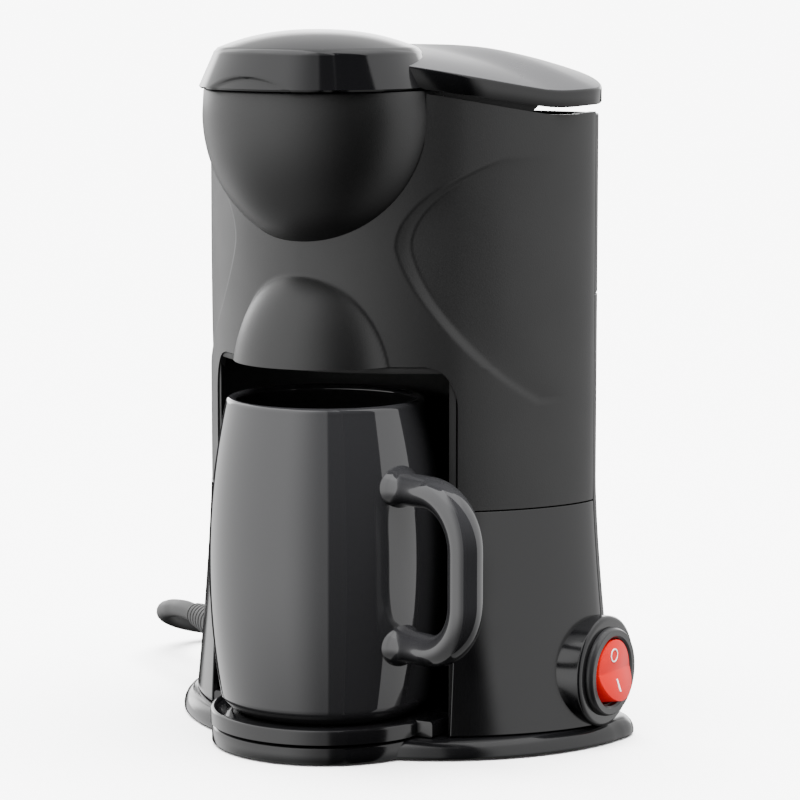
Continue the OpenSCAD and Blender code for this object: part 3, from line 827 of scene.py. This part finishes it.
def make_cap():
    shoulder_z, shoulder_r = 227.4, CAP_R - CAP_TAPER
    side = [(CAP_R - 0.5, CAP_Z), (CAP_R, CAP_Z + 0.6)]
    side += [(CAP_R - (CAP_R - shoulder_r) * i / 24, CAP_Z + 0.6 + (shoulder_z - 1.6 - CAP_Z) * i / 24)
             for i in range(1, 25)]
    dome = []
    for i in range(25):
        r = (shoulder_r - 1.4) * (1 - i / 24)
        dome.append((r, LID_TOP - (LID_TOP - shoulder_z - 0.2) * (r / shoulder_r) ** 2.3))
    edge = [(shoulder_r - 0.25, shoulder_z - 0.35), (shoulder_r - 0.7, shoulder_z)]
    profile = side + edge + dome
    steps = 160
    points = []
    for r, z in profile:
        for k in range(steps):
            a = 2 * math.pi * k / steps
            front = (a + math.pi / 2 + math.pi) % (2 * math.pi) - math.pi
            wall_r = r - scoop(front, z)
            points.append((wall_r * math.cos(a), CAP_Y + wall_r * math.sin(a), z))
    faces = [face for face in grid_faces(len(profile), steps, closed=True)
             if not inside_column([points[i] for i in face])]
    cap = make_piece("lid_cap", points, faces, "lid", "lid_black", "lid")
    thicken(cap, 2.0)
    split_edges(cap, 50)


def lid_low_edge(x, y):
    return RIM_Z + 1.0 - LOW_ARCH * x * x + rear_rise(y)


def lid_top_edge(x, y):
    return LID_EDGE_Z - TOP_ARCH * x * x + rear_rise(y)


def lid_outline(inset):
    return rounded_outline(HALF_W + 1.0 - inset, FRONT_D + 0.6 - inset, 48.8 - inset, SEAM_Y, FLATTEN)


def lip_share(x, y):
    """1 where the lid has a lip inside the housing's rim: beside the bowl, but not at the back."""
    beside_bowl = smooth_step((math.hypot(x, y - AXIS_Y) - BOWL_R - 1.5) / 2)
    return beside_bowl * (1 - smooth_step((y - 10) / 7))


def make_rear_lid():
    """The tank's cover: a band that follows the rim's arch, and a shallow dome on it."""
    rings = [
        [(x, y, lid_low_edge(x, y) + 2.0 - 5.6 * lip_share(x, y)) for x, y in lid_outline(3.8)],
        [(x, y, lid_low_edge(x, y) + 0.6) for x, y in lid_outline(3.7)],
        [(x, y, lid_low_edge(x, y)) for x, y in lid_outline(0.4)],
        [(x, y, lid_low_edge(x, y) + 0.5) for x, y in lid_outline(0.0)],
    ]
    rounding, dome, middle_y = 0.8, 2.6, 10.0
    for i in range(7):
        a = math.pi / 2 * i / 6
        outline = lid_outline(rounding * (1 - math.cos(a)))
        rings.append([(x, y, lid_top_edge(x, y) - rounding * (1 - math.sin(a))) for x, y in outline])
    outline = lid_outline(rounding)
    steps = 60
    for i in range(1, steps):
        t = 1 - i / steps
        ring = []
        for x, y in outline:
            px, py = x * t, middle_y + (y - middle_y) * t
            ring.append((px, py, lid_top_edge(px, py) + dome * (1 - t ** 3)))
        rings.append(ring)
    points = [p for ring in rings for p in ring]
    faces = grid_faces(len(rings), len(rings[0]), closed=True)
    last = len(points) - len(rings[0])
    faces.append(tuple(range(last, len(points))))
    lid = make_piece("lid_rear", points, faces, "lid", "lid_black")
    lid.data.materials.append(MATERIALS["lid_satin_painted_sheen"])
    lid.data.materials.append(MATERIALS["niche_black"])
    for face in lid.data.polygons:
        if max(face.vertices) < 2 * len(rings[0]):
            face.material_index = 2
        # Up-facing faces take the lighter satin copy, a painted sheen on the lid's top.
        elif face.normal.z > 0.8:
            face.material_index = 1
    split_edges(lid, 50)
    return lid


def make_knuckles():
    """The rear cover's two outer knuckles and the lid's two inner ones, on the hinge line."""
    y, z = HINGE
    for side in (-1, 1):
        for name, body, slot, near, far, foot in (
                ("lid_knuckle", "lid", "lid_black", 24.0, 30.0, 218.0),
                ("cover_knuckle", "housing", "matt_black", 30.3, 36.0, 202.0)):
            ends = sorted((side * near, side * far))
            profile = [(1.15, ends[0]), (1.9, ends[0]), (2.2, ends[0] + 0.3), (2.2, ends[1] - 0.3),
                       (1.9, ends[1]), (1.15, ends[1]), (1.15, ends[0])]
            points, faces = revolve(profile, 0, 0, 40)
            label = name + ("_left" if side < 0 else "_right")
            knuckle = make_piece(label, turn_to_x(points, HINGE), faces, body, slot)
            split_edges(knuckle, 40)
            low, high = sorted((foot, z - 1.4 if foot < z else z + 1.4))
            thick = 1.4
            corners = [(x, yy, zz) for zz in (low, high) for x, yy in (
                (ends[0], y - thick), (ends[1], y - thick), (ends[1], y + thick), (ends[0], y + thick))]
            web, web_faces = loft([corners[:4], corners[4:]])
            arm = make_piece(label + "_web", web, web_faces, body, slot)
            bevel_edges(arm, 0.3, 3, 40)


# ---- switch ----

def make_switch():
    boss_r, hole = 18.3, 12.2
    x0, x1 = boss_low.x - 2, boss_high.x
    profile = [(boss_r, x0), (boss_r, x1 - 1.4)] + arc(boss_r - 1.4, x1 - 1.4, 1.4, 0, 90, 6)
    profile += [(hole, x1), (hole, x0)]
    points, faces = revolve(profile, 0, 0, 96)
    boss = make_piece("switch_collar", turn_to_x(points, SWITCH), faces, "housing",
                      "gloss_black", "switch_boss")
    split_edges(boss, 40)
    r0, r1, hole = 14.7, 13.9, 11.3
    x0, x1 = bezel_low.x, bezel_high.x
    profile = [(hole, x0), (r0, x0), (r0, x0 + 0.7), (r1 + 0.35, x1 - 0.3), (r1, x1), (hole + 0.7, x1),
               (hole, x1 - 0.6), (hole, x0)]
    points, faces = revolve(profile, 0, 0, 96)
    bezel = make_piece("switch_ring", turn_to_x(points, SWITCH), faces, "housing",
                       "bezel_grey", "switch_bezel")
    split_edges(bezel, 40)


# ---- nodes whose CAD shape is kept ----

def finish_cad_nodes():
    slots = {row["node"]: row["material_slot"] for row in frame["record"]["subparts"]}
    for name, node in frame["nodes"].items():
        paint(node, slots[name])
        weld = node.modifiers.new("weld", "WELD")
        weld.merge_threshold = 0.00001
        bevel_edges(node, 0.2, 2, 38)
        node.data.shade_smooth()
        split_edges(node, 34)


finish_cad_nodes()
make_upper_housing()
make_lower_housing()
make_rear_cover("rear_lower", "rear_cover_lower", rear_foot_low.z, SPLIT_Z - GAP)
make_rear_cover("rear_upper", "rear_cover_upper", SPLIT_Z + GAP, REAR_TOP)
make_knuckles()
make_bowl()
make_base()
make_tray()
make_mug()
make_handle()
make_cap()
make_rear_lid()
make_switch()


# ---- stage ----

# Brightness of each part of the surroundings, and of the backdrop that only the camera sees
LEFT_WALL = 2.4
RIGHT_WALL = 1.6
BACK_WALL = 5.0
CEILING = 0.6
BACKDROP = 7.5


def make_world():
    """Walls of light to the left, right and behind, with a dark gap on the camera's side."""
    world = bpy.data.worlds.new("world")
    world.use_nodes = True
    scene.world = world
    tree = world.node_tree
    background = tree.nodes["Background"]

    def compute(kind, first, second):
        node = tree.nodes.new("ShaderNodeMath")
        node.operation = kind
        for socket, value in zip(node.inputs, (first, second)):
            if isinstance(value, (int, float)):
                socket.default_value = value
            else:
                tree.links.new(value, socket)
        return node.outputs[0]

    def ramp(value, low, high):
        node = tree.nodes.new("ShaderNodeMapRange")
        node.interpolation_type = "SMOOTHSTEP"
        node.inputs["From Min"].default_value = low
        node.inputs["From Max"].default_value = high
        tree.links.new(value, node.inputs["Value"])
        return node.outputs["Result"]

    place = tree.nodes.new("ShaderNodeTexCoord").outputs["Generated"]
    flatten = tree.nodes.new("ShaderNodeVectorMath")
    flatten.operation = "MULTIPLY"
    flatten.inputs[1].default_value = (1, 1, 0)
    tree.links.new(place, flatten.inputs[0])
    unit = tree.nodes.new("ShaderNodeVectorMath")
    unit.operation = "NORMALIZE"
    tree.links.new(flatten.outputs["Vector"], unit.inputs[0])

    def wall(azimuth, half_width, softness):
        """1 within a wall in this level direction, in degrees, falling to 0 past its edges."""
        dot = tree.nodes.new("ShaderNodeVectorMath")
        dot.operation = "DOT_PRODUCT"
        turn = math.radians(azimuth)
        dot.inputs[1].default_value = (math.cos(turn), math.sin(turn), 0)
        tree.links.new(unit.outputs["Vector"], dot.inputs[0])
        return ramp(dot.outputs["Value"], math.cos(math.radians(half_width + softness)),
                    math.cos(math.radians(half_width - softness)))

    height = tree.nodes.new("ShaderNodeSeparateXYZ")
    tree.links.new(place, height.inputs[0])
    up = height.outputs["Z"]
    fading = compute("MULTIPLY", wall(-148, 68, 22), 0.65)
    left = compute("MULTIPLY", wall(-134, 80, 1.5), compute("ADD", 0.35, fading))
    light = compute("MULTIPLY", left, LEFT_WALL)
    light = compute("ADD", light, compute("MULTIPLY", wall(30, 63, 4), RIGHT_WALL))
    low_band = compute("SUBTRACT", ramp(up, 0.0, 0.05), compute("MULTIPLY", ramp(up, 0.2, 0.42), 0.75))
    behind = compute("MULTIPLY", compute("MULTIPLY", wall(125, 34, 6), BACK_WALL), low_band)
    light = compute("ADD", light, behind)
    light = compute("MULTIPLY", light, compute("ADD", 0.3, compute("MULTIPLY", ramp(up, -0.8, -0.15), 0.7)))
    light = compute("ADD", light, compute("MULTIPLY", ramp(up, 0.72, 0.9), CEILING))
    light = compute("ADD", light, 0.03)
    seen = tree.nodes.new("ShaderNodeLightPath").outputs["Is Camera Ray"]
    strength = compute("ADD", compute("MULTIPLY", seen, BACKDROP),
                       compute("MULTIPLY", light, compute("SUBTRACT", 1.0, seen)))
    background.inputs["Color"].default_value = (1, 1, 1, 1)
    tree.links.new(strength, background.inputs["Strength"])


def make_card(name, corners, material):
    """A flat four-cornered sheet that isn't part of the object, in metres."""
    mesh = bpy.data.meshes.new(name)
    mesh.from_pydata(corners, [], [(0, 1, 2, 3)])
    card = bpy.data.objects.new(name, mesh)
    scene.collection.objects.link(card)
    card.data.materials.append(material)
    return card


def make_stage():
    half = 20.0
    material, tree, shader = new_material("floor", (0.96, 0.96, 0.96), 0.7)
    add_bump(tree, shader, noise(tree, 3.0), 0.01)
    floor = make_card("floor", [(-half, -half, 0), (half, -half, 0), (half, half, 0),
                                (-half, half, 0)], material)
    floor.visible_glossy = False
    floor.visible_diffuse = False


def make_flag():
    """A black card on the camera's right that keeps the right-hand wall out of the mug and the cap.
    It shows only in reflections."""
    near, far, low, high = Vector((80, -28, 0)), Vector((420, -330, 0)), -300, 600
    corners = [near + Vector((0, 0, low)), far + Vector((0, 0, low)),
               far + Vector((0, 0, high)), near + Vector((0, 0, high))]
    material, _, shader = new_material("flag", (0.001, 0.001, 0.001), 1.0)
    shader.inputs["Specular IOR Level"].default_value = 0.0
    flag = make_card("flag", [p * MM for p in corners], material)
    flag.visible_camera = False
    flag.visible_diffuse = False
    flag.visible_shadow = False


def make_sun():
    """A broad soft light from above for the floor; its mirror image is kept out of the glossy parts."""
    data = bpy.data.lights.new("overhead", "SUN")
    data.energy = 24.0
    data.angle = math.radians(70)
    sun = bpy.data.objects.new("overhead", data)
    scene.collection.objects.link(sun)
    sun.location = (0, 0, 2)
    sun.visible_glossy = False


make_world()
make_stage()
make_flag()
make_sun()
